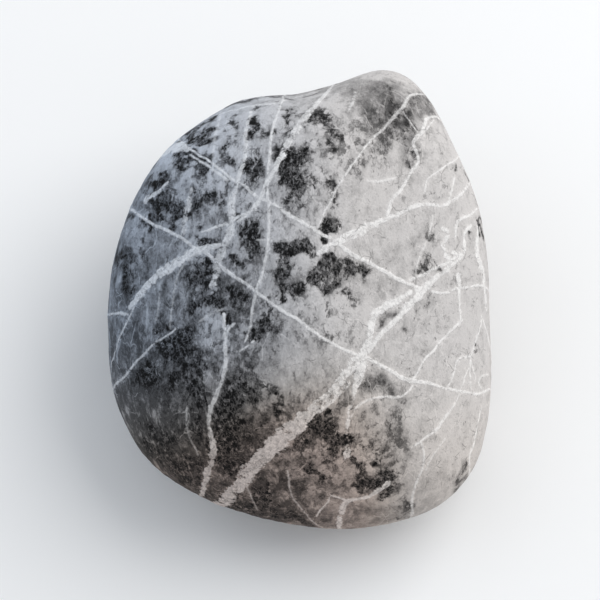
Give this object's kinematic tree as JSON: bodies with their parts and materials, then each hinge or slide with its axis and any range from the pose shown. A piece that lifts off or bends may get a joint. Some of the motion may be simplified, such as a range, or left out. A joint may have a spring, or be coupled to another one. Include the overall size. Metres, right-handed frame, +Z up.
{
  "type": "river pebble",
  "caption": "Palm-sized grey river pebble with white mineral veins, lying on a small worn flat.",
  "frame": {"origin": "middle of the footprint, on the surface that the pebble lies on", "axes": "+Z up, +Y towards the pebble's shouldered end, +X to the right of the broad face, which leans towards -Y"},
  "size_m": [0.064, 0.0732, 0.047],
  "materials": {
    "stone": "matt, water-worn"
  },
  "bodies": {
    "root": {"river_pebble": "stone"}
  },
  "joints": []
}
